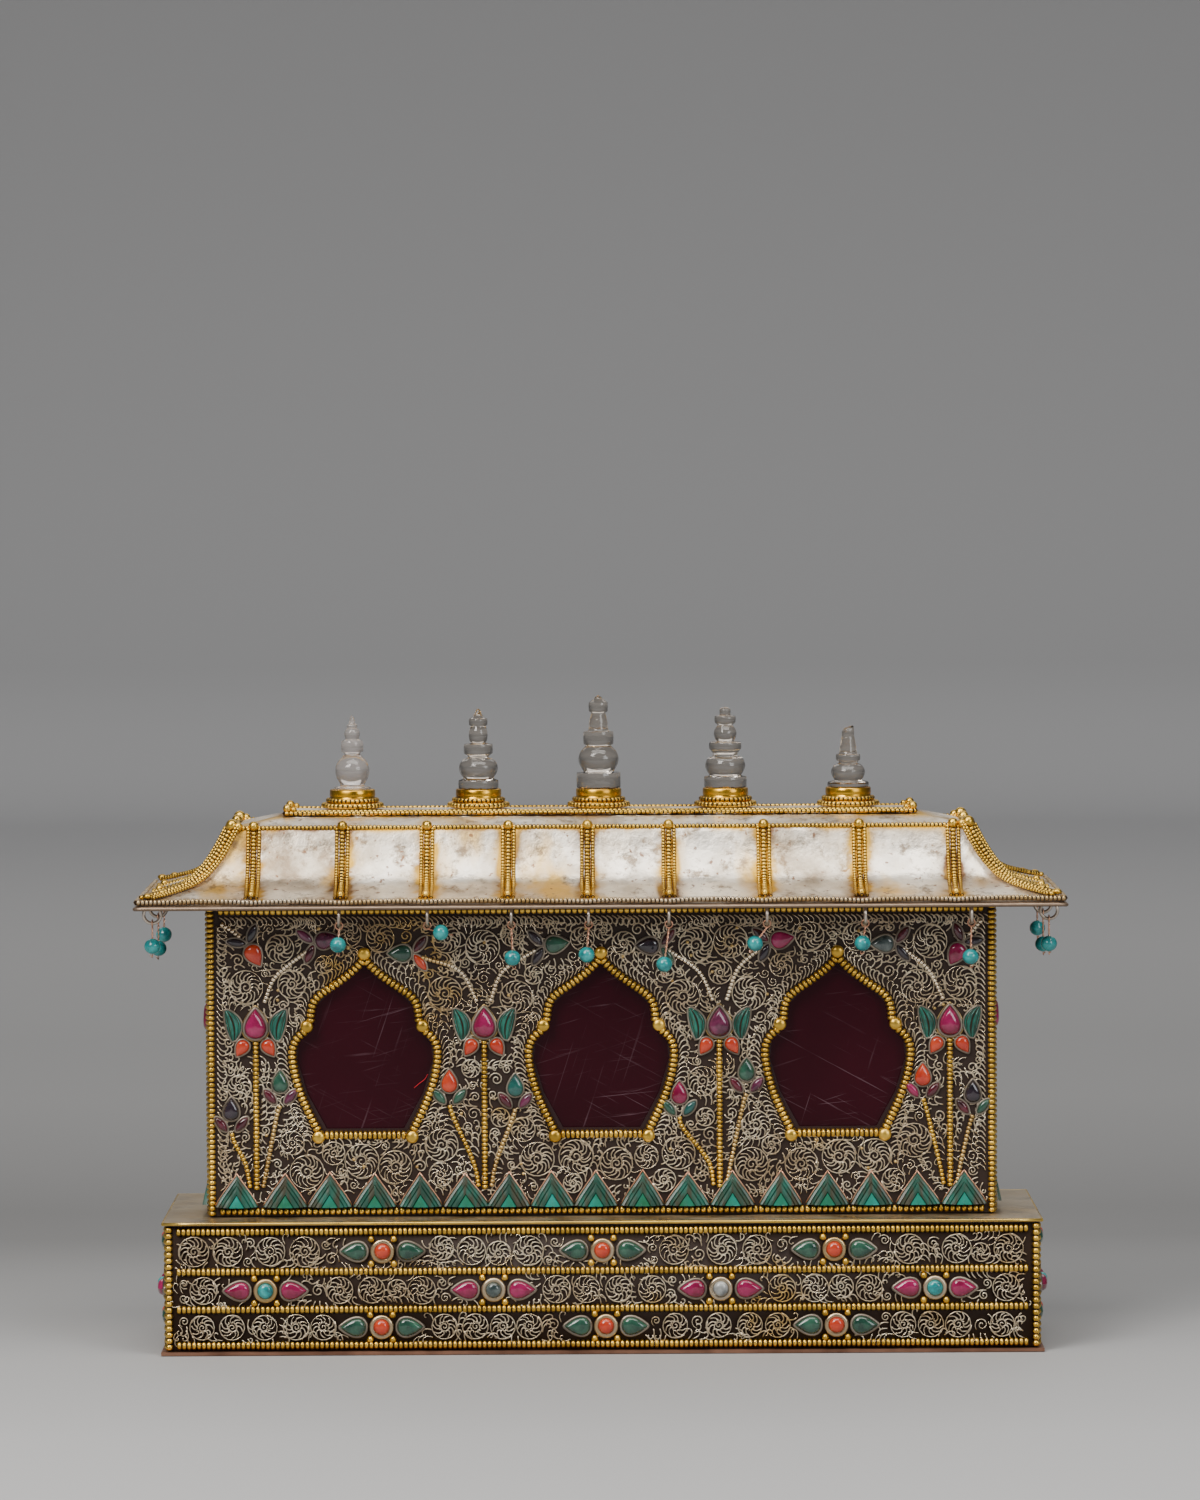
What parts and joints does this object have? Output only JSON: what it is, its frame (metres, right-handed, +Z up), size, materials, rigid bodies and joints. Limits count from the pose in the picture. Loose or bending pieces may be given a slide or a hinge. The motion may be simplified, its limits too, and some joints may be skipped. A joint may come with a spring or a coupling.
{
  "type": "shrine box",
  "caption": "House-shaped filigree shrine box on a plinth, with ogee windows, a flared hip roof, crystal stupa finials and turquoise beads under the eaves.",
  "frame": {"origin": "centre of the underside", "axes": "+X along the front towards its right end, +Y from the front to the back, +Z up"},
  "size_m": [0.279, 0.091, 0.1963],
  "materials": {
    "copper": "worn polish",
    "silver_sheet": "silvered, stained and scratched",
    "filigree": "silvered wire over a dark ground, gilt beading, set stones",
    "gilt": "worn gilding",
    "pane": "glossy dark red with fine scratches",
    "rock_crystal": "polished, smoky inclusions",
    "turquoise": "polished with dark veins"
  },
  "bodies": {
    "root": {"base_plate": "copper", "plinth_case": "silver_sheet", "plinth_front_panel": "filigree", "plinth_back_panel": "filigree", "plinth_left_panel": "filigree", "plinth_right_panel": "filigree", "shrine_walls": "silver_sheet", "front_panel": "filigree", "back_panel": "filigree", "left_panel": "filigree", "right_panel": "filigree", "window_pane_1": "pane", "window_pane_2": "pane", "window_pane_3": "pane", "roof_shell": "silver_sheet", "ridge_deck": "silver_sheet", "finial_collar_1": "gilt", "finial_collar_2": "gilt", "finial_collar_3": "gilt", "finial_collar_4": "gilt", "finial_collar_5": "gilt", "crystal_stupa_1": "rock_crystal", "crystal_stupa_2": "rock_crystal", "crystal_stupa_3": "rock_crystal", "crystal_stupa_4": "rock_crystal", "crystal_stupa_5": "rock_crystal", "pendant_front_1": "turquoise", "pendant_front_2": "turquoise", "pendant_front_3": "turquoise", "pendant_front_4": "turquoise", "pendant_front_5": "turquoise", "pendant_front_6": "turquoise", "pendant_front_7": "turquoise", "pendant_front_8": "turquoise", "pendant_back_1": "turquoise", "pendant_back_2": "turquoise", "pendant_back_3": "turquoise", "pendant_back_4": "turquoise", "pendant_left_1": "turquoise", "pendant_left_2": "turquoise", "pendant_left_3": "turquoise", "pendant_right_1": "turquoise", "pendant_right_2": "turquoise", "pendant_right_3": "turquoise"}
  },
  "joints": []
}
